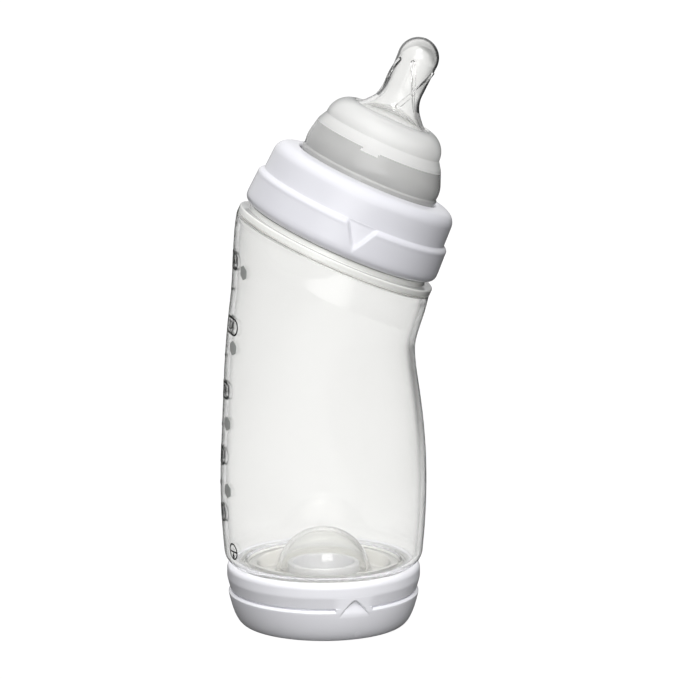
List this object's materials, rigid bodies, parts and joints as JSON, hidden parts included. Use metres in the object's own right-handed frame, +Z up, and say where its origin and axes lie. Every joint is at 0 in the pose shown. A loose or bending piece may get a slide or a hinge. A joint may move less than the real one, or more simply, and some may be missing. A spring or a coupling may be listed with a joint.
{
  "type": "baby bottle",
  "caption": "Clear waisted feeding bottle with a leaning wide neck, a silicone nipple clamped by a white screw collar, and a white screw base with a silicone vent disc.",
  "frame": {"origin": "on the table plane under the middle of the base cap, on the bottle's upright base axis", "axes": "+Z up, +X the way the neck leans, +Y completes the right-handed frame and is the bottle's far side"},
  "size_m": [0.0683, 0.0614, 0.1737],
  "materials": {
    "base_cap_plastic": "white polypropylene, moulded and glossy",
    "vent_silicone": "translucent silicone, moulded",
    "bottle_plastic": "clear polypropylene, blow moulded",
    "nipple_silicone": "clear silicone with a frosted dome",
    "collar_plastic": "white polypropylene, moulded and glossy",
    "scale_ink": "printed scale on the bottle"
  },
  "bodies": {
    "bottle": {"bottle_body": "bottle_plastic"},
    "nipple": {"nipple": "nipple_silicone"},
    "collar": {"collar": "collar_plastic"},
    "vent_disc": {"vent_disc": "vent_silicone"},
    "base_cap": {"base_cap": "base_cap_plastic"}
  },
  "joints": [
    {"name": "nipple_lift", "type": "slide", "parent": "bottle", "child": "nipple", "axis": [0.4067, 0, 0.9135], "range_m": [0, 0.012]},
    {"name": "collar_turn", "type": "hinge", "parent": "nipple", "child": "collar", "pos_m": [0.0028, 0, 0.1104], "axis": [0.4067, 0, 0.9135], "range_deg": [0, 720]},
    {"name": "vent_disc_drop", "type": "slide", "parent": "bottle", "child": "vent_disc", "axis": [0, 0, -1], "range_m": [0, 0.012]},
    {"name": "base_cap_turn", "type": "hinge", "parent": "vent_disc", "child": "base_cap", "pos_m": [0, 0, 0], "axis": [0, 0, -1], "range_deg": [0, 720]}
  ],
  "couplings": [
    {"joint": "nipple_lift", "follows": "collar_turn", "m_per_rad": 0.00095493},
    {"joint": "vent_disc_drop", "follows": "base_cap_turn", "m_per_rad": 0.00095493}
  ]
}
